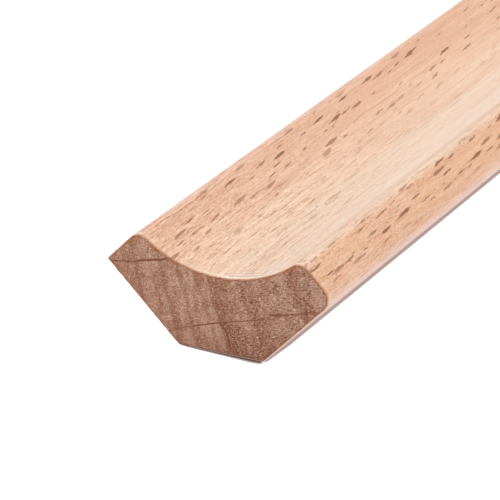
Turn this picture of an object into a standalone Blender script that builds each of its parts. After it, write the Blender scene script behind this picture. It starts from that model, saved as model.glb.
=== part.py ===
"""Scotia moulding: one length of planed beech trim with a hollow face.

The section is drawn in a square whose corner is where the wall and the floor meet. A mating
face lies on each of them, the splay cuts their corner away, and a cove joins the two nosed
front edges. The length lies along X, resting on its splay, with the cove facing up.
"""
import math

import bmesh
import bpy
from mathutils import Matrix, Vector

MM = 0.001
ROOT2 = math.sqrt(2.0)

# Driving dimensions, in millimetres
LENGTH = 2400.0      # one stock length
FACE_LEG = 20.0      # each mating face, measured from the corner of the wall and the floor
SPLAY_LEG = 7.5      # how much of each mating face the splay cuts away
NOSE_LAND = 5.8      # flat front edge beside each mating face, up to where the cove begins
COVE_DEPTH = 3.8     # the cove's deepest point below a line across both noses
NOSE_RADIUS = 1.5    # round between each nose land and the cove
EASED_ARRIS = 1.8    # outer corner on the floor side, rounded over by the cutter
SHARP_ARRIS = 0.2    # outer corner on the wall side, left nearly sharp
SPLAY_ARRIS = 0.6    # both corners of the splay

# Facets on each curve of the section
COVE_FACETS = 36
NOSE_FACETS = 10
EASED_FACETS = 8
FINE_FACETS = 4

# Planed beech: colour, linear
BEECH = (0.70, 0.43, 0.28, 1.0)
BEECH_ROUGHNESS = 0.55


def clear_scene():
    for item in list(bpy.data.objects):
        bpy.data.objects.remove(item, do_unlink=True)


def section_point(along_wall, along_floor):
    """Y and Z of a point given by its distances along the two mating planes."""
    return Vector(((along_wall - along_floor) / ROOT2, (along_wall + along_floor) / ROOT2))


def arc_points(centre, first, last, facets):
    """Points of the shorter arc about a centre, from first to last, both included."""
    start = first - centre
    end = last - centre
    turn = math.atan2(start.x * end.y - start.y * end.x, start.dot(end))
    return [centre + Matrix.Rotation(turn * step / facets, 2) @ start for step in range(facets + 1)]


def rounded_corner(before, corner, after, radius, facets):
    """Points of the fillet that replaces a corner between two straight sides."""
    back = (before - corner).normalized()
    ahead = (after - corner).normalized()
    half_angle = back.angle(ahead) / 2
    setback = radius / math.tan(half_angle)
    centre = corner + (back + ahead).normalized() * radius / math.sin(half_angle)
    return arc_points(centre, corner + back * setback, corner + ahead * setback, facets)


def section_outline():
    """The closed section, counter-clockwise with Y to the right and Z up."""
    # Corners of the straight sides
    floor_splay = section_point(0, SPLAY_LEG)
    wall_splay = section_point(SPLAY_LEG, 0)
    wall_corner = section_point(FACE_LEG, 0)
    floor_corner = section_point(0, FACE_LEG)

    # The cove's circle passes through both corners of the mouth, centred above the middle
    mouth_half = (FACE_LEG - NOSE_LAND) / ROOT2
    mouth_height = (FACE_LEG + NOSE_LAND) / ROOT2
    cove_radius = (mouth_half**2 + COVE_DEPTH**2) / (2 * COVE_DEPTH)
    cove_centre = Vector((0, mouth_height - COVE_DEPTH + cove_radius))

    # Each nose's circle touches its land from inside and the cove's circle from outside
    nose_inset = FACE_LEG - NOSE_RADIUS
    nose_reach = cove_radius + NOSE_RADIUS
    cove_leg = cove_centre.y / ROOT2
    land_end = cove_leg - math.sqrt(nose_reach**2 - (cove_leg - nose_inset)**2)
    wall_nose = section_point(nose_inset, land_end)
    floor_nose = section_point(land_end, nose_inset)
    wall_land_end = section_point(FACE_LEG, land_end)
    floor_land_end = section_point(land_end, FACE_LEG)
    wall_lip = cove_centre + (wall_nose - cove_centre) * cove_radius / nose_reach
    floor_lip = cove_centre + (floor_nose - cove_centre) * cove_radius / nose_reach

    outline = rounded_corner(floor_corner, floor_splay, wall_splay, SPLAY_ARRIS, FINE_FACETS)
    outline += rounded_corner(floor_splay, wall_splay, wall_corner, SPLAY_ARRIS, FINE_FACETS)
    outline += rounded_corner(wall_splay, wall_corner, wall_land_end, SHARP_ARRIS, FINE_FACETS)
    outline += arc_points(wall_nose, wall_land_end, wall_lip, NOSE_FACETS)
    outline += arc_points(cove_centre, wall_lip, floor_lip, COVE_FACETS)[1:-1]
    outline += arc_points(floor_nose, floor_lip, floor_land_end, NOSE_FACETS)
    outline += rounded_corner(floor_land_end, floor_corner, floor_splay, EASED_ARRIS, EASED_FACETS)
    return outline


def moulding_mesh():
    """Run the section out along X, with the origin under the middle of the length."""
    outline = section_outline()
    across = [point.x for point in outline]
    middle = (min(across) + max(across)) / 2
    base = min(point.y for point in outline)

    bm = bmesh.new()
    ring = []
    for point in outline:
        ring.append(bm.verts.new((-LENGTH / 2 * MM, (point.x - middle) * MM, (point.y - base) * MM)))
    near_end = bm.faces.new(ring)
    run = bmesh.ops.extrude_face_region(bm, geom=[near_end])
    far_ring = [item for item in run["geom"] if isinstance(item, bmesh.types.BMVert)]
    bmesh.ops.translate(bm, verts=far_ring, vec=(LENGTH * MM, 0, 0))
    bmesh.ops.recalc_face_normals(bm, faces=bm.faces)

    mesh = bpy.data.meshes.new("scotia_moulding")
    bm.to_mesh(mesh)
    bm.free()
    mesh.shade_smooth()
    mesh.set_sharp_from_angle(angle=math.radians(30))
    return mesh


def beech_material():
    material = bpy.data.materials.new("planed_beech")
    material.use_nodes = True
    shader = material.node_tree.nodes["Principled BSDF"]
    shader.inputs["Base Color"].default_value = BEECH
    shader.inputs["Roughness"].default_value = BEECH_ROUGHNESS
    shader.inputs["Metallic"].default_value = 0.0
    return material


clear_scene()
moulding = bpy.data.objects.new("scotia_moulding", moulding_mesh())
moulding.data.materials.append(beech_material())
bpy.context.scene.collection.objects.link(moulding)
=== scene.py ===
"""Scotia moulding in planed beech, lying on its splay with the cove up."""

import math

import bmesh
import bpy
import numpy as np
from mathutils import Matrix, Vector, noise
from mathutils.geometry import delaunay_2d_cdt


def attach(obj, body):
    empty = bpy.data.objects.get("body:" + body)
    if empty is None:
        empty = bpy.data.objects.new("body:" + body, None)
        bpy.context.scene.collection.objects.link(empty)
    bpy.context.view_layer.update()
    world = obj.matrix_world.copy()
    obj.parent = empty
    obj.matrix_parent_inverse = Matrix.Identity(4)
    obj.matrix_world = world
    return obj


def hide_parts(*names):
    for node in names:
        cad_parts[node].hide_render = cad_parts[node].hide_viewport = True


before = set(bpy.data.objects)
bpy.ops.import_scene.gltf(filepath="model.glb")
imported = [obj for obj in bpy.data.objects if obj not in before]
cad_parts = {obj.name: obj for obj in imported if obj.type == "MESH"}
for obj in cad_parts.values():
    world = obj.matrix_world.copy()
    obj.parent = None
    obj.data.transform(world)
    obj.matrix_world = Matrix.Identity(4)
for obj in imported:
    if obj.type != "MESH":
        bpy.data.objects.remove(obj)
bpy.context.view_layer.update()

# ------------------------------------
# The section: a stick of steamed beech run through a four-sided moulder, whose knives leave
# a cove between two nosed lands. The outer corner on the floor side is rounded over, the one
# on the wall side is left nearly sharp, and the two corners of the splay are just broken.
MM = 0.001
ROOT2 = math.sqrt(2)
LENGTH = 2400.0
FACE_LEG = 20.0
SPLAY_LEG = 7.5
NOSE_LAND = 5.8
COVE_DEPTH = 3.8
NOSE_RADIUS = 1.5
EASED_ARRIS = 1.8
SHARP_ARRIS = 0.2
SPLAY_ARRIS = 0.6
COVE_FACETS = 64
NOSE_FACETS = 12
EASED_FACETS = 14
FINE_FACETS = 5
FLAT_STEP = 0.4          # spacing of the points along the flat sides, mm
SKIN_DEPTH = 0.006       # how far the planed skin lies inside the nominal section, mm


def section_point(along_wall, along_floor):
    """Across and up, in millimetres, from the distances along the two mating planes."""
    return Vector(((along_wall - along_floor) / ROOT2, (along_wall + along_floor) / ROOT2))


def arc_points(centre, first, last, facets):
    """Points of the shorter arc about a centre, from first to last, both included."""
    start = first - centre
    end = last - centre
    turn = math.atan2(start.x * end.y - start.y * end.x, start.dot(end))
    return [centre + Matrix.Rotation(turn * step / facets, 2) @ start for step in range(facets + 1)]


def rounded_corner(before, corner, after, radius, facets):
    """Points of the round that replaces a corner between two flat sides."""
    back = (before - corner).normalized()
    ahead = (after - corner).normalized()
    half_angle = back.angle(ahead) / 2
    setback = radius / math.tan(half_angle)
    centre = corner + (back + ahead).normalized() * radius / math.sin(half_angle)
    return arc_points(centre, corner + back * setback, corner + ahead * setback, facets)


def planed_section():
    """The closed section, counter-clockwise, starting in the middle of the splay."""
    floor_splay = section_point(0, SPLAY_LEG)
    wall_splay = section_point(SPLAY_LEG, 0)
    wall_corner = section_point(FACE_LEG, 0)
    floor_corner = section_point(0, FACE_LEG)
    mouth_half = (FACE_LEG - NOSE_LAND) / ROOT2
    mouth_height = (FACE_LEG + NOSE_LAND) / ROOT2
    cove_radius = (mouth_half**2 + COVE_DEPTH**2) / (2 * COVE_DEPTH)
    cove_centre = Vector((0, mouth_height - COVE_DEPTH + cove_radius))
    nose_inset = FACE_LEG - NOSE_RADIUS
    nose_reach = cove_radius + NOSE_RADIUS
    cove_leg = cove_centre.y / ROOT2
    land_end = cove_leg - math.sqrt(nose_reach**2 - (cove_leg - nose_inset) ** 2)
    wall_nose = section_point(nose_inset, land_end)
    floor_nose = section_point(land_end, nose_inset)
    wall_land_end = section_point(FACE_LEG, land_end)
    floor_land_end = section_point(land_end, FACE_LEG)
    wall_lip = cove_centre + (wall_nose - cove_centre) * cove_radius / nose_reach
    floor_lip = cove_centre + (floor_nose - cove_centre) * cove_radius / nose_reach

    sides = [
        [(floor_splay + wall_splay) / 2],
        rounded_corner(floor_splay, wall_splay, wall_corner, SPLAY_ARRIS, FINE_FACETS),
        rounded_corner(wall_splay, wall_corner, wall_land_end, SHARP_ARRIS, FINE_FACETS),
        arc_points(wall_nose, wall_land_end, wall_lip, NOSE_FACETS),
        arc_points(cove_centre, wall_lip, floor_lip, COVE_FACETS)[1:-1],
        arc_points(floor_nose, floor_lip, floor_land_end, NOSE_FACETS),
        rounded_corner(floor_land_end, floor_corner, floor_splay, EASED_ARRIS, EASED_FACETS),
        rounded_corner(floor_corner, floor_splay, wall_splay, SPLAY_ARRIS, FINE_FACETS),
    ]
    outline = []
    corners = [point for side in sides for point in side]
    for here, there in zip(corners, corners[1:] + corners[:1]):
        pieces = max(1, round((there - here).length / FLAT_STEP))
        outline += [here.lerp(there, step / pieces) for step in range(pieces)]

    low = min(point.y for point in outline)
    across = [point.x for point in outline]
    middle = (min(across) + max(across)) / 2
    return [Vector((point.x - middle, point.y - low)) for point in outline], middle


def outward_normals(outline):
    """The outward direction at each point of a closed counter-clockwise outline."""
    normals = []
    for index, point in enumerate(outline):
        run = outline[(index + 1) % len(outline)] - outline[index - 1]
        normals.append(Vector((run.y, -run.x)).normalized())
    return normals


SECTION, SECTION_MIDDLE = planed_section()
NORMALS = outward_normals(SECTION)
SKIN = [point - normal * SKIN_DEPTH for point, normal in zip(SECTION, NORMALS)]

# ------------------------------------
# The stick: a crosscut saw squares both ends and leaves a fine broken arris round each cut,
# a little deeper where the fibres crumbled. The planed sides run straight between the ends.
# The unwrap gives the end nearest the viewer and the first 120 mm the finest detail.
ARRIS = 0.12             # the broken edge round each sawn end, mm
CRUMBLE = 0.10           # how much that varies from place to place, mm
CRUMBLE_PITCH = 0.45     # spacing of the crumbled places, mm
END_SHIFT = 7.3          # what gives the far end other crumbled places than the near one
ROUND_SHARE = 0.29       # where the broken edge's middle lies, as a share of its depth
CLOSE_LENGTH = 120.0     # the part with the finest unwrap, mm
CAP_SPACING = 0.55       # spacing of the points on the sawn faces, mm
CAP_ROWS = 0.866         # spacing of their rows, as a share of that
CAP_FIRST_ROW = 0.3      # height of the lowest row, mm
CAP_CLEAR = 0.62         # how far those points stay off the arris, mm
CAP_BANDS = (0.16, 0.38)        # two more lines of points along the arris, this far in, mm
BAND_CLEAR = 0.93        # how much of that those lines keep from the rest of the arris
ATLAS = 1024.0           # side of the unwrap, in texels
ATLAS_MARGIN = 4
CLOSE_RECTANGLE = (680, 440)    # the unwrap of the first 120 mm: girth and length, in texels
CLOSE_FLOOR = 580               # and its lower edge, which the two ends share
ROW_RECTANGLE = (1016, 282)     # the unwrap of each half of the rest: length and girth
ROW_PITCH = 288
NEAR_CAP = (690, 16.0)          # the unwrap of each end: left edge, and texels for each mm
FAR_CAP = (896, 9.9)
HALF_WIDTH = 13.73              # half of the section's width, mm
STATIONS_CLOSE = [0.5, 1.0, 2.0, 4.0, 8.0, 16.0, 30.0, 50.0, 75.0, 100.0, CLOSE_LENGTH]
STATIONS_ROW = 14


def arris_depth(index, end):
    """How deep the broken edge is at one point of the section, in millimetres."""
    place = SKIN[index]
    rough = noise.noise(Vector((place.x / CRUMBLE_PITCH, place.y / CRUMBLE_PITCH, END_SHIFT * end)))
    return ARRIS + CRUMBLE * rough


def ring_of(bm, distance, end, along, inset):
    """One ring of vertices at a distance from the near end, in millimetres.

    It is moved along and inset by its shares of the broken edge's depth at that end."""
    ring = []
    for index, (point, normal) in enumerate(zip(SKIN, NORMALS)):
        depth = arris_depth(index, end)
        here = point - normal * (inset * depth)
        at_x = distance + along * depth - LENGTH / 2
        ring.append(bm.verts.new((at_x * MM, here.x * MM, here.y * MM)))
    return ring


def sawn_face(bm, ring, at_x, facing):
    """Fill the end of the stick with small triangles and return them."""
    edge = np.array([(vert.co.y / MM, vert.co.z / MM) for vert in ring])
    ahead = np.roll(edge, -1, 0)
    run = ahead - edge

    def gap(places):
        """Distance of each place from the outline, in millimetres, and whether it is inside."""
        toward = places[:, None] - edge[None]
        part = np.clip((toward * run).sum(-1) / (run**2).sum(-1), 0, 1)
        away = np.linalg.norm(toward - part[..., None] * run, axis=-1).min(1)
        rises = (edge[None, :, 1] > places[:, None, 1]) != (ahead[None, :, 1] > places[:, None, 1])
        cut = edge[None, :, 0] + (places[:, None, 1] - edge[None, :, 1]) * run[None, :, 0] / (
            np.where(run[None, :, 1] == 0, 1e-9, run[None, :, 1]))
        inside = (rises & (places[:, None, 0] < cut)).sum(1) % 2 == 1
        return away, inside

    places = []
    rows = np.arange(CAP_FIRST_ROW, edge[:, 1].max(), CAP_SPACING * CAP_ROWS)
    for line, up in enumerate(rows):
        for across in np.arange(edge[:, 0].min(), edge[:, 0].max(), CAP_SPACING):
            places.append((across + (line % 2) * CAP_SPACING / 2, up))
    places = np.array(places)
    away, inside = gap(places)
    places = places[inside & (away > CAP_CLEAR)]
    inward = np.array([(normal.x, normal.y) for normal in NORMALS])
    for depth in CAP_BANDS:
        band = edge - inward * depth
        away, inside = gap(band)
        places = np.vstack([places, band[inside & (away > depth * BAND_CLEAR)]])

    flat = [Vector(place) for place in np.vstack([edge, places])]
    loop = [(index, (index + 1) % len(edge)) for index in range(len(edge))]
    points, _, triangles, sources, _, _ = delaunay_2d_cdt(flat, loop, [], 1, 1e-6)
    verts = []
    for point, source in zip(points, sources):
        if source and source[0] < len(ring):
            verts.append(ring[source[0]])
        else:
            verts.append(bm.verts.new((at_x, point.x * MM, point.y * MM)))
    away, _ = gap(np.array([(point.x, point.y) for point in points]))
    from_arris = bm.verts.layers.float["from_arris"]
    faces = []
    for vert, distance in zip(verts, away):
        vert[from_arris] = float(distance)
    for triangle in triangles:
        corners = [verts[index] for index in triangle]
        face = bm.faces.new(corners)
        face.normal_update()
        if face.normal.x * facing < 0:
            face.normal_flip()
        faces.append(face)
    return faces


def stick_mesh():
    """The whole stick: planed sides in slot 0 and both sawn ends in slot 1."""
    bm = bmesh.new()
    bm.verts.layers.float.new("from_arris")
    unwrap = bm.loops.layers.uv.new("OFBake")
    count = len(SKIN)
    girth = [0.0]
    for index in range(count):
        girth.append(girth[-1] + (SKIN[(index + 1) % count] - SKIN[index]).length)

    # Stations along the stick: a distance, and how far the broken edge moves it along and in
    row_length = (LENGTH - CLOSE_LENGTH) / 2
    middle = [CLOSE_LENGTH + row_length * step / STATIONS_ROW for step in range(1, 2 * STATIONS_ROW)]
    near = [(0.0, 0, 0.0, 1.0), (0.0, 0, ROUND_SHARE, ROUND_SHARE), (0.0, 0, 1.0, 0.0)]
    level = [(distance, 0, 0.0, 0.0) for distance in STATIONS_CLOSE + middle]
    far = [(LENGTH, 1, -1.0, 0.0), (LENGTH, 1, -ROUND_SHARE, ROUND_SHARE), (LENGTH, 1, 0.0, 1.0)]
    rings = [ring_of(bm, *station) for station in near + level + far]

    # The unwrap: each band of the stick has its own rectangle, in texels
    def unwrapped(distance, around, band):
        if band == 0:
            u = ATLAS_MARGIN + CLOSE_RECTANGLE[0] * around / girth[-1]
            v = CLOSE_FLOOR + CLOSE_RECTANGLE[1] * distance / CLOSE_LENGTH
        else:
            from_row = distance - CLOSE_LENGTH - (band - 1) * row_length
            u = ATLAS_MARGIN + ROW_RECTANGLE[0] * from_row / row_length
            v = ATLAS_MARGIN + ROW_PITCH * (band - 1) + ROW_RECTANGLE[1] * around / girth[-1]
        return (u / ATLAS, v / ATLAS)

    last_close = len(near) + len(STATIONS_CLOSE) - 1
    last_first_row = last_close + STATIONS_ROW
    for station in range(len(rings) - 1):
        band = 0 if station < last_close else (1 if station < last_first_row else 2)
        for index in range(count):
            after = (index + 1) % count
            corners = [rings[station][index], rings[station][after],
                       rings[station + 1][after], rings[station + 1][index]]
            around = [girth[index], girth[index + 1], girth[index + 1], girth[index]]
            face = bm.faces.new(corners[::-1])
            face.smooth = True
            for loop in face.loops:
                corner = corners.index(loop.vert)
                distance = loop.vert.co.x / MM + LENGTH / 2
                loop[unwrap].uv = unwrapped(distance, around[corner], band)

    for ring, facing, (left, scale) in ((rings[0], -1, NEAR_CAP), (rings[-1], 1, FAR_CAP)):
        for face in sawn_face(bm, ring, facing * LENGTH / 2 * MM, facing):
            face.material_index = 1
            face.smooth = True
            for loop in face.loops:
                across = loop.vert.co.y / MM + HALF_WIDTH
                up = loop.vert.co.z / MM
                loop[unwrap].uv = ((left + up * scale) / ATLAS, (CLOSE_FLOOR + across * scale) / ATLAS)

    mesh = bpy.data.meshes.new("beech_moulding")
    bm.to_mesh(mesh)
    bm.free()
    return mesh


moulding = bpy.data.objects.new("beech_moulding", stick_mesh())
bpy.context.scene.collection.objects.link(moulding)
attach(moulding, "root")
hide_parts("scotia_moulding")

# ------------------------------------
# The timber's own figure, which runs right through the stick: growth rings stand across it,
# and medullary rays are thin sheets of cells that stand square to the rings. A planed face
# that cuts the sheets crosswise shows short dark spindles, one along them shows faint flakes.
RAY_ANGLE = math.radians(14.5)     # the rays' tilt in the section, from level
RING_ANGLE = math.radians(18.0)    # the ring normal's tilt in the section, from level
RING_FAN = 0.012                   # how much each ring leans away from the last, for each mm
RING_FAN_FROM = (3.0, -6.0)        # where they don't lean, across the rings and along them, mm
RING_REACH = 14.5                  # how far the rings' tones reach each way, mm
RUN_OUT = (0.032, 0.038)           # how far the grain climbs across and up, for each mm along
WANDER = 3.0                       # how widely it wanders, mm
WANDER_GROWTH = 150.0              # and how far along it does so fully, mm
BEECH_IOR = 1.5


def linear(code):
    """A hex colour as drawn on screen, turned to linear values with alpha."""
    channels = [int(code[start:start + 2], 16) / 255 for start in (0, 2, 4)]
    return tuple(c / 12.92 if c <= 0.04045 else ((c + 0.055) / 1.055) ** 2.4 for c in channels) + (1.0,)


def add_node(tree, kind, inputs=None, **settings):
    """Add one node, with its settings, and its inputs filled by values or by other nodes."""
    node = tree.nodes.new("ShaderNode" + kind)
    for name, value in settings.items():
        setattr(node, name, value)
    for name, value in (inputs or {}).items():
        socket = node.inputs[name]
        if isinstance(value, bpy.types.Node):
            value = next(output for output in value.outputs if output.enabled)
        if isinstance(value, bpy.types.NodeSocket):
            tree.links.new(value, socket)
        else:
            socket.default_value = value
    return node


def ends(side, pair, unit=1.0):
    """The two ends of a change, on the side that it comes from or goes to."""
    return {side + " Min": pair[0] * unit, side + " Max": pair[1] * unit}


def patches(tree, place, size, detail, roughness=0.5, shift=(0, 0, 0)):
    """Noise in patches of one size, given in mm along each way of the place."""
    scaled = add_node(tree, "VectorMath", {
        0: place, 1: tuple(1 / part for part in size), 2: shift}, operation="MULTIPLY_ADD")
    return add_node(tree, "TexNoise", {
        "Vector": scaled, "Scale": 1.0, "Detail": detail, "Roughness": roughness})


def swerve(tree, place, size, detail):
    """Noise from -0.5 to 0.5 in each way, which pushes the cells and rings out of line."""
    patch = patches(tree, place, size, detail)
    return add_node(tree, "VectorMath", {
        0: patch.outputs["Color"], 1: (-0.5, -0.5, -0.5)}, operation="ADD")


def lay_tone(tree, colour, tone, texture, start, full, most=1.0, masks=(), blend="MIX"):
    """Lay a tone over a colour: none where the texture is at start, most of it from full on."""
    share = add_node(tree, "MapRange", {
        "Value": texture, "From Min": start, "From Max": full, "To Max": most})
    for mask in masks:
        share = add_node(tree, "Math", {0: share, 1: mask}, operation="MULTIPLY")
    laid = add_node(tree, "Mix", {0: share, 6: colour, 7: tone}, data_type="RGBA", blend_type=blend)
    return laid.outputs[2]


# Rays in three sizes. Each has its spacing and its half size, both in mm and given along the
# ray, across it and along the grain, its strength, and a shift that sets its places.
RAY_SIZES = (
    ((10.0, 1.04, 4.6), (5.0, 0.162, 2.00), 1.0, (3.1, 8.4, 1.7)),
    ((8.0, 1.80, 5.4), (3.9, 0.120, 1.50), 0.90, (7.7, 2.6, 5.9)),
    ((5.0, 1.35, 4.6), (2.2, 0.070, 0.80), 0.30, (1.3, 4.2, 9.6)),
)
RAY_SPREAD = 0.8                # how freely they lie in their cells, from 0 to 1
RAY_LENGTHS = (0.60, 1.12)      # the shortest and the longest, times that half size
RAY_PALEST = 0.65               # the palest one, times that strength
RAY_TAPER = 1.7                 # how late their ends run out
RAY_EDGE = (0.05, 0.39)         # where their soft edge starts and is full, in half thicknesses
RAY_FRAY = 0.38                 # how far the fibres that pass round them shift that edge
# They are plumper towards the floor side's land: by how much, and where, mm across
RAY_PLUMP = {"From Min": -8.0, "From Max": -10.5, "To Min": 1.0, "To Max": 1.35}
# Broad rays that the saw cut across, and a fine crack along a ring: middle in the section
# (across to the floor side and up, mm), tilt in degrees, half length, half thickness and half
# height along the grain, mm, and strength
BROAD_RAYS = (
    ((-12.0, 8.86), 7.0, 2.1, 0.11, 1.5, 0.95),
    ((-7.85, 9.80), 13.0, 3.2, 0.19, 2.2, 1.00),
    ((-4.75, 2.15), 20.0, 1.3, 0.22, 1.9, 0.40),
    ((-1.80, 3.14), 17.5, 2.3, 0.110, 1.9, 1.00),
    ((2.45, 4.32), 14.5, 2.4, 0.110, 1.9, 0.85),
    ((5.50, 5.28), 20.0, 0.9, 0.180, 1.2, 0.60),
    ((7.45, 6.00), 10.0, 1.4, 0.200, 1.2, 0.90),
    ((10.6, 6.78), 16.5, 1.9, 0.180, 1.2, 0.65),
    ((0.48, 3.12), -54.5, 0.9, 0.13, 8.0, 1.00),
    ((1.02, 1.70), -77.0, 1.2, 0.13, 8.0, 1.00),
)
BROAD_LEAN = -0.045             # how far they lean aside, for each mm along
BROAD_EDGE = 0.45               # how soft their edge is, in half thicknesses
# How dark the wood is across the growth rings, from place to place along their normal, mm. Each
# year starts pale behind a sharp line, where the last one's dark late wood ends
RING_TONES = (
    (-14.5, 0.3), (-10.7, 0.1), (-10.5, 0.9), (-9.8, 0.35), (-8.3, 0.0), (-8.1, 1.0), (-7.3, 0.35),
    (-4.8, 0.0), (-4.55, 0.9), (-3.9, 0.25), (-2.7, 0.0), (-2.45, 0.75), (-1.8, 0.2), (-0.5, 0.0),
    (-0.25, 0.65), (0.4, 0.3), (0.95, 0.0), (1.15, 0.95), (2.4, 0.95), (3.0, 0.35), (4.8, 0.0),
    (5.15, 0.75), (5.9, 0.7), (7.3, 0.25), (8.0, 0.35), (10.9, 0.0), (11.3, 0.95), (12.2, 0.75),
    (13.4, 0.1),
)


def beech_figure(tree):
    """Add the nodes of the timber's pattern and return those that the finishes read."""
    spot = add_node(tree, "TexCoord")
    from_corner = add_node(tree, "VectorMath", {
        0: spot.outputs["Object"], 1: (LENGTH / 2 * MM, SECTION_MIDDLE * MM, 0)}, operation="ADD")
    stick = add_node(tree, "VectorMath", {0: from_corner, "Scale": 1 / MM}, operation="SCALE")

    # The grain wanders a little along the stick, about 1 mm in 100 mm, from the near end on
    place = add_node(tree, "SeparateXYZ", {0: stick})
    wander_grows = add_node(tree, "MapRange", {"Value": place.outputs[0], "From Max": WANDER_GROWTH})
    wander = swerve(tree, stick, (110, 50, 50), 1.0)
    grown = add_node(tree, "VectorMath", {0: wander, "Scale": wander_grows}, operation="SCALE")
    wandering = add_node(tree, "VectorMath", {
        0: grown, 1: (0, WANDER, WANDER), 2: stick}, operation="MULTIPLY_ADD")

    # Distances along the rays, across them and along the grain
    ray_way = (-math.cos(RAY_ANGLE), math.sin(RAY_ANGLE))
    across_way = (math.sin(RAY_ANGLE), math.cos(RAY_ANGLE))
    ray_climb = -(RUN_OUT[0] * ray_way[0] + RUN_OUT[1] * ray_way[1])
    across_climb = -(RUN_OUT[0] * across_way[0] + RUN_OUT[1] * across_way[1])
    along_ray, across_ray, along_grain = (
        add_node(tree, "VectorMath", {0: point, 1: way}, operation="DOT_PRODUCT")
        for point, way in ((wandering, (ray_climb, *ray_way)),
                           (wandering, (across_climb, *across_way)), (stick, (1, 0, 0))))
    grain = add_node(tree, "CombineXYZ", {0: along_ray, 1: across_ray, 2: along_grain})

    # Cells are pushed out of line by some 0.05 mm, so no ray has a clean edge
    cell_push = swerve(tree, grain, (0.5, 0.25, 0.9), 2.0)
    ragged = add_node(tree, "VectorMath", {
        0: cell_push, 1: (0.6, 0.12, 0.5), 2: grain}, operation="MULTIPLY_ADD")

    # Rays as lens-shaped sheets, one to a cell, with their own size and darkness, frayed by
    # the fibres that pass round them
    passing = patches(tree, grain, (0.7, 0.11, 1.0), 1.0)
    fray = add_node(tree, "MapRange", {
        "Value": passing, "From Min": 0.25, "From Max": 0.75, "To Min": -RAY_FRAY, "To Max": RAY_FRAY})
    plump = add_node(tree, "MapRange", {"Value": place.outputs[1], **RAY_PLUMP})
    rays = None
    for spacing, half, strength, shift in RAY_SIZES:
        cells = add_node(tree, "VectorMath", {
            0: ragged, 1: tuple(1 / size for size in spacing), 2: shift}, operation="MULTIPLY_ADD")
        nearest = add_node(tree, "TexVoronoi", {
            "Vector": cells, "Scale": 1.0, "Randomness": RAY_SPREAD},
            feature="F1", voronoi_dimensions="3D")
        offset = add_node(tree, "VectorMath", {
            0: cells, 1: nearest.outputs["Position"]}, operation="SUBTRACT")
        lens = add_node(tree, "VectorMath", {
            0: offset, 1: tuple(size / reach for size, reach in zip(spacing, half))},
            operation="MULTIPLY")
        part = add_node(tree, "SeparateXYZ", {0: lens})
        own = add_node(tree, "SeparateColor", {0: nearest.outputs["Color"]})
        own_size = add_node(tree, "MapRange", {"Value": own.outputs[0], **ends("To", RAY_LENGTHS)})
        along_own = add_node(tree, "Math", {0: part.outputs[2], 1: own_size}, operation="DIVIDE")
        along_size = add_node(tree, "Math", {0: along_own}, operation="ABSOLUTE")
        grow = add_node(tree, "Math", {0: along_size, 1: RAY_TAPER}, operation="POWER")
        grow_ray = add_node(tree, "Math", {
            0: part.outputs[0], 1: part.outputs[0], 2: grow}, operation="MULTIPLY_ADD")
        thick = add_node(tree, "Math", {0: 1.0, 1: grow_ray}, operation="SUBTRACT")
        thick_own = add_node(tree, "Math", {0: thick, 1: own_size}, operation="MULTIPLY")
        thin = add_node(tree, "Math", {0: part.outputs[1]}, operation="ABSOLUTE")
        thin_own = add_node(tree, "Math", {0: thin, 1: plump}, operation="DIVIDE")
        inside = add_node(tree, "Math", {0: thick_own, 1: thin_own}, operation="SUBTRACT")
        frayed = add_node(tree, "Math", {0: inside, 1: fray}, operation="ADD")
        mask = add_node(tree, "MapRange", {"Value": frayed, **ends("From", RAY_EDGE)})
        dark = add_node(tree, "MapRange", {
            "Value": own.outputs[1], "To Min": RAY_PALEST * strength, "To Max": strength})
        ray = add_node(tree, "Math", {0: mask, 1: dark}, operation="MULTIPLY")
        rays = ray if rays is None else add_node(tree, "Math", {0: rays, 1: ray}, operation="MAXIMUM")

    broad = None
    for (across, up), tilt, length, thickness, height, strength in BROAD_RAYS:
        way = (math.cos(math.radians(tilt)), math.sin(math.radians(tilt)))
        offset = add_node(tree, "VectorMath", {0: stick, 1: (0.0, -across, up)}, operation="SUBTRACT")
        pushed = add_node(tree, "VectorMath", {
            0: cell_push, 1: (0.5, 0.18, 0.18), 2: offset}, operation="MULTIPLY_ADD")
        level, aside, deep = (
            add_node(tree, "VectorMath", {0: pushed, 1: share_of}, operation="DOT_PRODUCT")
            for share_of in (
                (0, -way[0] / length, way[1] / length),
                (BROAD_LEAN / thickness, way[1] / thickness, way[0] / thickness),
                (1 / height, 0, 0)))
        square_end = add_node(tree, "Math", {0: level, 1: 6.0}, operation="POWER")
        round_off = add_node(tree, "Math", {0: deep, 1: deep, 2: square_end}, operation="MULTIPLY_ADD")
        thick = add_node(tree, "Math", {0: 1.0, 1: round_off}, operation="SUBTRACT")
        thin = add_node(tree, "Math", {0: aside}, operation="ABSOLUTE")
        inside = add_node(tree, "Math", {0: thick, 1: thin}, operation="SUBTRACT")
        ray = add_node(tree, "MapRange", {"Value": inside, "From Max": BROAD_EDGE, "To Max": strength})
        broad = ray if broad is None else add_node(
            tree, "Math", {0: broad, 1: ray}, operation="MAXIMUM")

    # Growth rings, as one ramp across the section with a small wave in each line
    ring_wave = swerve(tree, stick, (30, 2.5, 2.5), 2.0)
    waved = add_node(tree, "VectorMath", {
        0: ring_wave, 1: (0, 0.7, 0.7), 2: wandering}, operation="MULTIPLY_ADD")
    straight, along_rings = (
        add_node(tree, "VectorMath", {0: waved, 1: way}, operation="DOT_PRODUCT")
        for way in ((0, -math.cos(RING_ANGLE), math.sin(RING_ANGLE)),
                    (0, -math.sin(RING_ANGLE), -math.cos(RING_ANGLE))))
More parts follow.
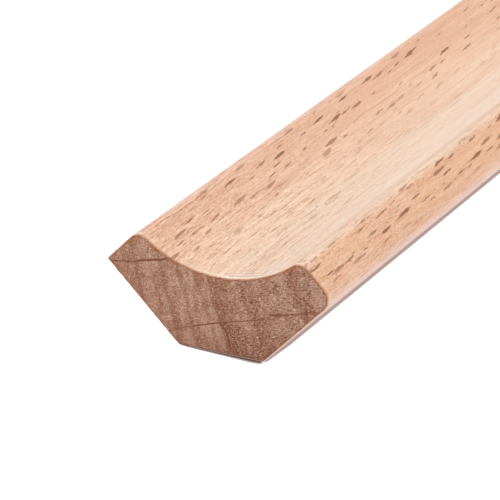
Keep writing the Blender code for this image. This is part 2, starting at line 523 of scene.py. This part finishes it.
    # The rings fan out a little towards the splay
    fan_side = add_node(tree, "Math", {0: straight, 1: -RING_FAN_FROM[0]}, operation="ADD")
    fan_down = add_node(tree, "Math", {0: along_rings, 1: -RING_FAN_FROM[1]}, operation="ADD")
    fan = add_node(tree, "Math", {0: fan_side, 1: fan_down}, operation="MULTIPLY")
    across_rings = add_node(tree, "Math", {0: fan, 1: -RING_FAN, 2: straight}, operation="MULTIPLY_ADD")
    ring_grain = add_node(tree, "CombineXYZ", {0: across_rings, 1: along_rings, 2: along_grain})
    ring_place = add_node(tree, "MapRange", {
        "Value": across_rings, "From Min": -RING_REACH, "From Max": RING_REACH})
    rings = add_node(tree, "ValToRGB", {0: ring_place})
    stops = rings.color_ramp.elements
    stops.remove(stops[1])
    for place_mm, tone in RING_TONES:
        at = (place_mm + RING_REACH) / (2 * RING_REACH)
        stop = stops[0] if at == 0 else stops.new(at)
        stop.position = at
        stop.color = (tone, tone, tone, 1)

    # The fibres themselves run a little wavy, by some 0.1 mm every few millimetres
    curl = swerve(tree, ring_grain, (1.8, 1.8, 5.0), 1.0)
    curled = add_node(tree, "VectorMath", {
        0: curl, 1: (0.6, 0.6, 0), 2: ring_grain}, operation="MULTIPLY_ADD")

    # Fibres 6 mm long and 0.3 mm thick, thin lines of open cells, vessels 0.6 mm long, stripes
    # within the year rings, and slow drifts of tone, each with a shift of its own
    textures = {}
    for name, point, size, detail in (
            ("fibres", curled, (0.26, 0.34, 6.0), 2.0), ("lines", curled, (0.27, 0.15, 6.0), 2.0),
            ("vessels", grain, (0.22, 0.17, 0.6), 2.0), ("stripes", curled, (0.50, 2.4, 22.0), 3.0),
            ("drift", grain, (2.2, 1.8, 34.0), 3.0)):
        shift = (len(textures) * 3.7, 1.9, 0.4)
        textures[name] = patches(tree, point, size, detail, 0.6, shift)
    return {"stick": stick, "place": place, "grain": grain, "rays": rays, "broad": broad,
            "rings": rings, "across_rings": across_rings, "ring_grain": ring_grain, **textures}


def beech_material(name):
    """A new material of this timber, with its nodes, its shader and the figure it reads."""
    material = bpy.data.materials.new(name)
    material.use_nodes = True
    shader = material.node_tree.nodes["Principled BSDF"]
    shader.inputs["IOR"].default_value = BEECH_IOR
    return material, material.node_tree, shader, beech_figure(material.node_tree)


# ------------------------------------
# Planed beech: the knives leave a smooth, bare, faintly shiny face. It gives the eye a warm
# pale pinkish straw, with fine streaks along the grain and the rays as short brown spindles.
PLANED_CREAM_SHEEN = linear("EACDB4")        # a face along the rays, paler partly from the wood's own tone and partly a painted sheen
PAINTED_HIGHLIGHT_PALE = linear("F3DFCD")         # painted highlight: a paler band on the floor side, laid along the growth rings
PLANED_WARM = linear("EBB58E")         # a face across the rays
OUTER_ROSE = linear("E3AF90")          # the log's outer years, on the wall side
DRIFT_ROSE = linear("E3B196")
FIBRE_PALE = linear("F6DDC6")
RAY_BROWN = linear("8D4F2C")
FIBRE_SHADE = (0.76, 0.66, 0.58, 1)    # what the darkest fibres multiply the colour by
LINE_BROWN = (0.68, 0.52, 0.41, 1)     # and the thin lines of open cells
# Painted reflection: the floor side's mating face is coloured paler and pinker, as if lit by the white
# table
PAINTED_BOUNCE_PINK = linear("E6C8BE")         # the floor side's mating face, from the rounded arris on
PINK_TURN = (0.60, 0.98)               # how far a face turns to the floor where that starts and is full
PALE_BAND_RISE = (3.5, 9.5)               # where the painted highlight band starts and is full, and
PALE_BAND_FALL = (12.7, 11.8)               # where it ends, mm across the rings
# How strong the streaks and rays are from place to place: more near the saw cut, mm along,
# where the fibres are roughest; less on the floor side's arris, mm across, which its cutter
# rubs smooth; and by how squarely the face cuts the rays, from 0 to 1
NEAR_CUT = {"From Min": 8.0, "From Max": 55.0, "To Min": 1.55, "To Max": 0.50}
RUBBED_ARRIS = {"From Min": -12.5, "From Max": -13.1, "To Min": 1.0, "To Max": 0.25}
LINES_BY_CUT = {"From Min": 0.9, "From Max": 0.4, "To Min": 0.50}
STRIPES_BY_CUT = {"From Min": 0.3, "To Min": 1.0, "To Max": 0.68}
RAYS_BY_CUT = {"From Min": 0.12, "From Max": 0.7, "To Max": 0.98}
SCORCH = linear("C28259")              # where the saw's heat browned the last fibres
SCORCH_UNDER_PAINTED_SHADE = linear("7A4A34")        # and darker on the splay: painted shade over the scorch
SCORCH_WIDTH = 0.24                    # how far in from the cut that reaches, mm
SCORCH_LOW = (1.2, 0.5)                # the heights between which the one turns into the other, mm
BAND = 0.85                            # and how far the pale band beyond it reaches, crushed fibres with a painted highlight, mm
CUT_RAGGED = 0.14                      # how far both stray from fibre to fibre, mm
RIPPLE_MIDDLE = 3.0                    # where the saw's ripples are, across to the floor side, mm
RIPPLE_HALF = 4.4
RIPPLE_PITCH = 0.90
RIPPLE_RUN = 3.2                       # how many of them there are
RIPPLE_ENDS = 0.12                     # how much of their reach is left at their ends
RIPPLE_PALE = linear("FCEEDF")
PLANED_ROUGHNESS = (0.42, 0.56)        # from one fibre to another
PLANED_RELIEF = 0.05                   # how far the fibres stand out, mm


def planed_beech():
    material, tree, shader, figure = beech_material("planed_beech")
    rings_at, place = figure["across_rings"], figure["place"]

    # How squarely the face cuts the rays: 1 on a face across them, 0 on one along them
    geometry = add_node(tree, "NewGeometry")
    facing = add_node(tree, "VectorMath", {
        0: geometry.outputs["True Normal"], 1: (0, -math.cos(RAY_ANGLE), math.sin(RAY_ANGLE))},
        operation="DOT_PRODUCT")
    facing_size = add_node(tree, "Math", {0: facing}, operation="ABSOLUTE")
    crosswise = add_node(tree, "MapRange", {"Value": facing_size, "From Min": 0.22, "From Max": 0.86})

    # Ground colour: cream to warm with the way the face lies, the cream partly a painted sheen, then
    # slow drifts and rings
    # The pale band is a painted highlight, laid along the growth rings across the floor side of the
    # hollow
    pale_band_start = add_node(tree, "MapRange", {"Value": rings_at, **ends("From", PALE_BAND_RISE)})
    pale_band_end = add_node(tree, "MapRange", {"Value": rings_at, **ends("From", PALE_BAND_FALL)})
    pale_band = add_node(tree, "Math", {0: pale_band_start, 1: pale_band_end}, operation="MULTIPLY")
    cream = add_node(tree, "Mix", {0: pale_band, 6: PLANED_CREAM_SHEEN, 7: PAINTED_HIGHLIGHT_PALE}, data_type="RGBA")
    ground = add_node(tree, "Mix", {
        0: crosswise, 6: cream.outputs[2], 7: PLANED_WARM}, data_type="RGBA")
    drift_most = add_node(tree, "MapRange", {"Value": pale_band, "To Min": 0.55, "To Max": 0.20})
    drifted = lay_tone(tree, ground.outputs[2], DRIFT_ROSE, figure["drift"], 0.42, 0.68, drift_most)
    ring_share = add_node(tree, "Math", {0: figure["rings"], 1: 0.25}, operation="MULTIPLY")
    ringed = add_node(tree, "Mix", {0: ring_share, 6: drifted, 7: PLANED_WARM}, data_type="RGBA")
    colour = lay_tone(tree, ringed.outputs[2], OUTER_ROSE, rings_at, 0.0, -7.0, 0.85)

    # Fibres: dark and pale lines of different sizes. All are fainter in the painted highlight band, and
    # all but the stripes are strongest near the saw cut. Stripes and fibres are fainter on a
    # face across the rays, and the lines show least there and on the rubbed arris
    smooth = add_node(tree, "MapRange", {"Value": pale_band, "To Min": 1.0, "To Max": 0.60})
    near_cut = add_node(tree, "MapRange", {"Value": place.outputs[0], **NEAR_CUT})
    rubbed = add_node(tree, "MapRange", {"Value": place.outputs[1], **RUBBED_ARRIS})
    lines_cut = add_node(tree, "MapRange", {"Value": crosswise, **LINES_BY_CUT})
    stripes_cut = add_node(tree, "MapRange", {"Value": crosswise, **STRIPES_BY_CUT})
    for name, start, full, most, tone, blend, masks in (
            ("stripes", 0.52, 0.70, 0.42, FIBRE_SHADE, "MULTIPLY", (smooth, stripes_cut)),
            ("stripes", 0.48, 0.32, 0.38, FIBRE_PALE, "MIX", (smooth, stripes_cut)),
            ("fibres", 0.52, 0.70, 0.42, FIBRE_SHADE, "MULTIPLY", (smooth, stripes_cut, near_cut)),
            ("fibres", 0.48, 0.32, 0.36, FIBRE_PALE, "MIX", (smooth, stripes_cut, near_cut)),
            ("lines", 0.57, 0.66, 0.80, LINE_BROWN, "MULTIPLY", (smooth, near_cut, lines_cut, rubbed)),
            ("vessels", 0.52, 0.68, 0.40, FIBRE_SHADE, "MULTIPLY", (smooth, near_cut)),
            ("vessels", 0.48, 0.32, 0.30, FIBRE_PALE, "MIX", (smooth, near_cut))):
        colour = lay_tone(tree, colour, tone, figure[name], start, full, most, masks, blend)

    # The floor side's mating face is pinker, a painted reflection of the white table it faces, and the
    # rays lie over everything
    turned = add_node(tree, "VectorMath", {
        0: geometry.outputs["True Normal"], 1: (0, -1 / ROOT2, -1 / ROOT2)}, operation="DOT_PRODUCT")
    bounce_painted = lay_tone(tree, colour, PAINTED_BOUNCE_PINK, turned, *PINK_TURN, 0.55)
    all_rays = add_node(tree, "Math", {0: figure["rays"], 1: figure["broad"]}, operation="MAXIMUM")
    ray_cut = add_node(tree, "MapRange", {"Value": crosswise, **RAYS_BY_CUT})
    ray_seen = add_node(tree, "Math", {0: ray_cut, 1: rubbed}, operation="MULTIPLY")
    ray_share = add_node(tree, "Math", {0: all_rays, 1: ray_seen}, operation="MULTIPLY")
    rayed = add_node(tree, "Mix", {0: ray_share, 6: bounce_painted, 7: RAY_BROWN}, data_type="RGBA")

    # Next to the saw cut the last fibres are browned, and beyond them a pale band: crushed fibres with
    # a painted highlight along the cut's edge
    uneven = add_node(tree, "MapRange", {
        "Value": figure["vessels"], "From Min": 0.3, "From Max": 0.7,
        "To Min": -CUT_RAGGED, "To Max": CUT_RAGGED})
    from_cut = add_node(tree, "Math", {0: place.outputs[0], 1: uneven}, operation="ADD")
    band_most = add_node(tree, "MapRange", {
        "Value": crosswise, "From Max": 0.35, "To Min": 0.80, "To Max": 0.12})
    colour = lay_tone(tree, rayed.outputs[2], FIBRE_PALE, from_cut, BAND, BAND * 0.6, band_most)

    # The saw also left a few curved ripples at the hollow's end, to the floor side of its middle
    aside = add_node(tree, "Math", {0: place.outputs[1], 1: RIPPLE_MIDDLE}, operation="ADD")
    aside_2 = add_node(tree, "Math", {0: aside, 1: aside}, operation="MULTIPLY")
    ripple_reach = add_node(tree, "MapRange", {
        "Value": aside_2, "From Max": RIPPLE_HALF**2, "To Min": 1.0, "To Max": RIPPLE_ENDS})
    ripple_place = add_node(tree, "Math", {0: from_cut, 1: ripple_reach}, operation="DIVIDE")
    ripple_turn = add_node(tree, "Math", {
        0: ripple_place, 1: 2 * math.pi / RIPPLE_PITCH}, operation="MULTIPLY")
    ripple_wave = add_node(tree, "Math", {0: ripple_turn}, operation="COSINE")
    ripple_fade = add_node(tree, "MapRange", {
        "Value": ripple_place, "From Max": RIPPLE_PITCH * RIPPLE_RUN, "To Min": 1.0, "To Max": 0.0})
    ripple_most = add_node(tree, "MapRange", {
        "Value": aside_2, "From Min": RIPPLE_HALF**2, "From Max": RIPPLE_HALF**2 * 0.6,
        "To Max": ripple_fade})
    for way, tone, blend in ((1, FIBRE_SHADE, "MULTIPLY"), (-1, RIPPLE_PALE, "MIX")):
        wave = add_node(tree, "Math", {0: ripple_wave, 1: way * 0.9}, operation="MULTIPLY")
        most = add_node(tree, "Math", {0: wave, 1: ripple_most}, operation="MULTIPLY", use_clamp=True)
        rippled = add_node(tree, "Mix", {
            0: most, 6: colour, 7: tone}, data_type="RGBA", blend_type=blend)
        colour = rippled.outputs[2]
    # Low on the splay the scorch turns darker: painted shade
    scorch_and_shade = lay_tone(tree, SCORCH, SCORCH_UNDER_PAINTED_SHADE, place.outputs[2], *SCORCH_LOW)
    colour = lay_tone(tree, colour, scorch_and_shade, from_cut, SCORCH_WIDTH, 0.06, 0.80)
    tree.links.new(colour, shader.inputs["Base Color"])

    rough = add_node(tree, "MapRange", {
        "Value": figure["fibres"], "From Min": 0.3, "From Max": 0.7, **ends("To", PLANED_ROUGHNESS)})
    tree.links.new(rough.outputs[0], shader.inputs["Roughness"])
    relief = add_node(tree, "Math", {0: figure["fibres"], 1: ray_share}, operation="SUBTRACT")
    bump = add_node(tree, "Bump", {"Height": relief, "Distance": PLANED_RELIEF * MM, "Strength": 0.7})
    tree.links.new(bump.outputs[0], shader.inputs["Normal"])
    return material


moulding.data.materials.append(planed_beech())

# ------------------------------------
# Sawn beech end grain: the crosscut leaves the open ends of the cells, which drink the light.
# It gives the eye a matt grey-brown, speckled with pores and dust, ring lines in reddish
# brown, and a thin burnished brown rim where the saw rubbed.
SAWN_GREY = linear("CEA187")
SAWN_RED = linear("995C3E")
SAWN_DARK = linear("7F452C")
RIM_BROWN = linear("AF6B44")
DUST_PALE = linear("F0D2BE")
PORE_DARK = linear("5E3626")
SAWN_ROUGHNESS = 0.8
SAWN_RELIEF = 0.08       # how deep the torn cells are, mm
OUTER_YEARS = (-5.5, -9.5)      # where the outer years' red wood starts and is full, mm
TORN_SIDE = (0.9, 1.6)          # where the more torn side starts and is full, mm across the rings
TORN_ELSEWHERE = 0.45           # how strong cells and dust are on the other side
TORN_BLOTCHES = (0.60, 1.40)    # and on this one, from place to place
RIM_HIGH = (5.0, 8.5)           # the heights between which the rim grows to its full strength, mm
RIM_LOW = 0.35                  # its strength below them


def sawn_beech():
    material, tree, shader, figure = beech_material("sawn_beech_end")
    shader.inputs["Roughness"].default_value = SAWN_ROUGHNESS
    rings_at, place = figure["across_rings"], figure["place"]

    # Ground: grey early wood to reddish late wood, redder in the outer years and low down
    ring_share = add_node(tree, "Math", {0: figure["rings"], 1: 0.95}, operation="MULTIPLY")
    outer = add_node(tree, "MapRange", {
        "Value": rings_at, **ends("From", OUTER_YEARS), "To Max": 0.60})
    late = add_node(tree, "Math", {0: ring_share, 1: outer}, operation="MAXIMUM")
    ringed = add_node(tree, "Mix", {0: late, 6: SAWN_GREY, 7: SAWN_RED}, data_type="RGBA")
    blotch = add_node(tree, "TexNoise", {
        "Vector": figure["stick"], "Scale": 0.60, "Detail": 3.0, "Roughness": 0.6})
    low = add_node(tree, "MapRange", {
        "Value": place.outputs[2], "From Min": 3.8, "From Max": 0.5, "To Max": 0.30})
    toward_floor = add_node(tree, "MapRange", {"Value": rings_at, **ends("From", TORN_SIDE)})
    lower = add_node(tree, "Math", {0: low, 1: toward_floor, 2: blotch}, operation="MULTIPLY_ADD")

    # Each year's wood shows as blocks, bounded by the rings and the rays
    blocks = patches(tree, figure["ring_grain"], (0.55, 1.5, 9.0), 0.5)

    # Open cells and dust, drawn about twice as coarse as real ones so that they show. The
    # cells stand in short files along the rays, and the saw tore them more on the floor side
    # and in crumbly blotches
    files = patches(tree, figure["grain"], (0.45, 0.15, 2.0), 2.0, 0.8)
    specks = patches(tree, figure["grain"], (0.44, 0.24, 0.4), 2.0, 0.8)
    cells = add_node(tree, "TexNoise", {"Vector": figure["stick"], "Scale": 5.5, "Detail": 1.0})
    crumbly = add_node(tree, "MapRange", {
        "Value": blotch, "From Min": 0.38, "From Max": 0.62, **ends("To", TORN_BLOTCHES)})
    torn = add_node(tree, "MapRange", {
        "Value": toward_floor, "To Min": TORN_ELSEWHERE, "To Max": crumbly})
    colour = ringed.outputs[2]
    for texture, start, full, most, tone, masks in (
            (lower, 0.46, 0.60, 0.62, SAWN_RED, ()), (blocks, 0.52, 0.66, 0.24, SAWN_RED, ()),
            (blocks, 0.48, 0.36, 0.12, DUST_PALE, ()), (cells, 0.50, 0.34, 0.42, SAWN_DARK, ()),
            (cells, 0.52, 0.68, 0.36, DUST_PALE, ()), (files, 0.47, 0.35, 0.76, SAWN_DARK, (torn,)),
            (specks, 0.45, 0.35, 0.92, PORE_DARK, (torn,)),
            (files, 0.58, 0.70, 0.52, DUST_PALE, (torn,)),
            (specks, 0.62, 0.69, 0.95, DUST_PALE, ())):
        colour = lay_tone(tree, colour, tone, texture, start, full, most, masks)

    # Rays and the crack, then the rim: worn through here and there, and faint low down
    ray_lines = add_node(tree, "Math", {0: figure["rays"], 1: 0.25}, operation="MULTIPLY")
    broad_lines = add_node(tree, "Math", {0: figure["broad"], 1: 0.9}, operation="MULTIPLY")
    lines = add_node(tree, "Math", {0: ray_lines, 1: broad_lines}, operation="MAXIMUM")
    lined = add_node(tree, "Mix", {0: lines, 6: colour, 7: SAWN_DARK}, data_type="RGBA")
    from_arris = add_node(tree, "Attribute", attribute_name="from_arris")
    rim_uneven = add_node(tree, "Math", {
        0: blotch, 1: -0.8, 2: from_arris.outputs["Fac"]}, operation="MULTIPLY_ADD")
    rim_break = add_node(tree, "MapRange", {
        "Value": blotch, "From Min": 0.42, "From Max": 0.58, "To Min": 0.30})
    rim_high = add_node(tree, "MapRange", {
        "Value": place.outputs[2], **ends("From", RIM_HIGH), "To Min": RIM_LOW})
    rim_worn = add_node(tree, "Math", {0: rim_break, 1: rim_high}, operation="MULTIPLY")
    rimmed = lay_tone(tree, lined.outputs[2], RIM_BROWN, rim_uneven, -0.06, -0.28, 0.90, (rim_worn,))
    tree.links.new(rimmed, shader.inputs["Base Color"])
    bump = add_node(tree, "Bump", {"Height": specks, "Distance": SAWN_RELIEF * MM, "Strength": 0.6})
    tree.links.new(bump.outputs[0], shader.inputs["Normal"])
    return material


moulding.data.materials.append(sawn_beech())

# ------------------------------------
# The table: a plain white board under the stick, washed out to the white of the backdrop. What
# is left of the stick's shadow is painted on it as a tight grey band beside the splay, beyond a thin
# painted reflection of the stick's lit side, and a dark line under the near end.
TABLE_SIDE = 16.0
TABLE_WHITE = 0.88
TABLE_LIFT = 0.80        # what the board adds for the eye only, so that it reads as white
SHADOW_SIDE = (0.36, 0.60)      # how far the shadow reaches beside the stick at the near end and
SHADOW_GROWTH = 5.0             # from 5 mm on, mm
SHADOW_FRONT = (0.10, 2.50)     # and before the near end, on the wall side and the floor side, mm
FRONT_SPAN = (5.0, -5.6)        # where those two are, mm across
WALL_END = (4.4, 4.8)           # where all of it runs out on the wall side, mm across
FRONT_END = (-5.45, -5.9)       # and the part before the near end on the floor side
SHADOW_OPEN = (0.63, 0.79)      # how much sky the board sees where it pales and where it ends
SHADOW_GREY = linear("A39391")
SHADOW_DARK = linear("5A4036")
PAINTED_REFLECTION_PINK = linear("FBEBE3")
MIRROR_LINE = (-5.49, 0.19)     # the middle and half width, across, of the mirroring line, mm
MIRROR_OPEN = (0.55, 0.45)      # how much sky the board sees where that line starts and is full


def eye_rays(tree):
    """The light path, and 1 where the eye looks, straight, by a mirror or through glass."""
    path = add_node(tree, "LightPath")
    seen = add_node(tree, "Math", {
        0: path.outputs["Is Camera Ray"], 1: path.outputs["Is Glossy Ray"]}, operation="MAXIMUM")
    seen_all = add_node(tree, "Math", {
        0: seen, 1: path.outputs["Is Transmission Ray"]}, operation="MAXIMUM")
    return path, seen_all


def table_board():
    mesh = bpy.data.meshes.new("table")
    half = TABLE_SIDE / 2
    corners = [(-half, -half, 0), (half, -half, 0), (half, half, 0), (-half, half, 0)]
    mesh.from_pydata(corners, [], [(0, 1, 2, 3)])
    board = bpy.data.objects.new("table", mesh)
    material = bpy.data.materials.new("white_table")
    material.use_nodes = True
    tree = material.node_tree
    tree.nodes.clear()
    path, seen = eye_rays(tree)
    lift = add_node(tree, "Math", {0: seen, 1: TABLE_LIFT}, operation="MULTIPLY")
    spot = add_node(tree, "TexCoord")
    at = add_node(tree, "SeparateXYZ", {0: spot.outputs["Object"]})

    # How far the shadow reaches, from the splay's floor side and from the near end
    side = add_node(tree, "MapRange", {
        "Value": at.outputs[0], "From Min": -LENGTH / 2 * MM,
        "From Max": (SHADOW_GROWTH - LENGTH / 2) * MM, **ends("To", SHADOW_SIDE, MM)})
    front = add_node(tree, "MapRange", {
        "Value": at.outputs[1], **ends("From", FRONT_SPAN, MM), **ends("To", SHADOW_FRONT, MM)})
    before = add_node(tree, "Math", {0: at.outputs[0], 1: -LENGTH / 2 * MM}, operation="LESS_THAN")
    reach = add_node(tree, "Mix", {0: before, 2: side, 3: front})
    open_sky = add_node(tree, "AmbientOcclusion", {"Distance": reach}, samples=16)

    # It ends at the stick's sides and is drawn for the eye only
    wall_side = add_node(tree, "MapRange", {"Value": at.outputs[1], **ends("From", WALL_END, MM)})
    past_corner = add_node(tree, "MapRange", {
        "Value": at.outputs[1], **ends("From", FRONT_END, MM), "To Max": before})
    far_off = add_node(tree, "MapRange", {
        "Value": open_sky.outputs["AO"], **ends("From", SHADOW_OPEN)})
    ends_there = add_node(tree, "Math", {0: wall_side, 1: past_corner}, operation="MAXIMUM")
    plain = add_node(tree, "Math", {0: far_off, 1: ends_there}, operation="MAXIMUM")
    unseen = add_node(tree, "Math", {0: 1.0, 1: path.outputs["Is Camera Ray"]}, operation="SUBTRACT")
    clear = add_node(tree, "Math", {0: plain, 1: unseen}, operation="MAXIMUM")
    grey = add_node(tree, "Mix", {0: before, 6: SHADOW_GREY, 7: SHADOW_DARK}, data_type="RGBA")
    shaded = add_node(tree, "Mix", {0: clear, 6: grey.outputs[2], 7: (1, 1, 1, 1)}, data_type="RGBA")

    # The painted reflection line, only beside the stick
    beside = add_node(tree, "MapRange", {
        "Value": open_sky.outputs["AO"], **ends("From", MIRROR_OPEN)})
    line = add_node(tree, "Math", {
        0: at.outputs[1], 1: MIRROR_LINE[0] * MM, 2: MIRROR_LINE[1] * MM}, operation="COMPARE")
    line_beside = add_node(tree, "Math", {0: line, 1: beside}, operation="MULTIPLY")
    mirrored = add_node(tree, "Math", {0: line_beside, 1: before}, operation="SUBTRACT", use_clamp=True)
    lit = add_node(tree, "Mix", {0: mirrored, 6: shaded.outputs[2], 7: PAINTED_REFLECTION_PINK}, data_type="RGBA")

    board_colour = add_node(tree, "Mix", {
        0: 1.0, 6: lit.outputs[2], 7: (TABLE_WHITE,) * 3 + (1,)},
        data_type="RGBA", blend_type="MULTIPLY")
    white = add_node(tree, "Emission", {"Color": lit.outputs[2], "Strength": lift})
    board_white = add_node(tree, "BsdfDiffuse", {"Color": board_colour.outputs[2]})
    both = add_node(tree, "AddShader", {0: board_white, 1: white})
    add_node(tree, "OutputMaterial", {"Surface": both})
    mesh.materials.append(material)
    bpy.context.scene.collection.objects.link(board)
    return board


table_board()

# ------------------------------------
# The light: a broad soft key from above and a little behind, and a broad low fill from the
# floor side in front of the near end, in a white room.
ROOM_LIGHT = 0.48
# Each lamp's strength, the way its light travels, and how broad it looks from the table
LAMPS = {
    "key": (1.63, (-0.35, -0.20, -1.0), 50),
    "fill": (1.05, (0.60, 0.78, -0.18), 60),
}

for name, (strength, toward, spread) in LAMPS.items():
    lamp_data = bpy.data.lights.new(name, "SUN")
    lamp_data.energy = strength
    lamp_data.angle = math.radians(spread)
    lamp = bpy.data.objects.new(name, lamp_data)
    lamp.rotation_euler = Vector(toward).to_track_quat("-Z", "Y").to_euler()
    bpy.context.scene.collection.objects.link(lamp)

room = bpy.data.worlds.new("white_room")
room.use_nodes = True
room_tree = room.node_tree
background = room_tree.nodes["Background"]
_, room_seen = eye_rays(room_tree)
room_strength = add_node(room_tree, "MapRange", {"Value": room_seen, "To Min": ROOM_LIGHT})
room_tree.links.new(room_strength.outputs[0], background.inputs["Strength"])
background.inputs["Color"].default_value = (1, 1, 1, 1)
bpy.context.scene.world = room

# ------------------------------------
# The camera: a long lens close to the near end, to the floor side of the stick, looking down
# along it at 23 degrees.
CAMERA_PLACE = Vector((-1528.01, -182.10, 172.53)) * MM
CAMERA_RIGHT = Vector((0.46867, -0.88313, -0.02075))
CAMERA_UP = Vector((0.35612, 0.16739, 0.91933))
SENSOR_WIDTH = 36.0      # mm
LENS = 269.47            # mm

camera_data = bpy.data.cameras.new("camera")
camera_data.sensor_width = SENSOR_WIDTH
camera_data.lens = LENS
camera_data.clip_start = 0.01
camera_data.clip_end = 50.0
camera = bpy.data.objects.new("camera", camera_data)
turn = Matrix((CAMERA_RIGHT, CAMERA_UP, CAMERA_RIGHT.cross(CAMERA_UP))).transposed()
camera.matrix_world = Matrix.Translation(CAMERA_PLACE) @ turn.to_4x4()
bpy.context.scene.collection.objects.link(camera)
bpy.context.scene.camera = camera
bpy.context.scene.view_settings.view_transform = "Standard"
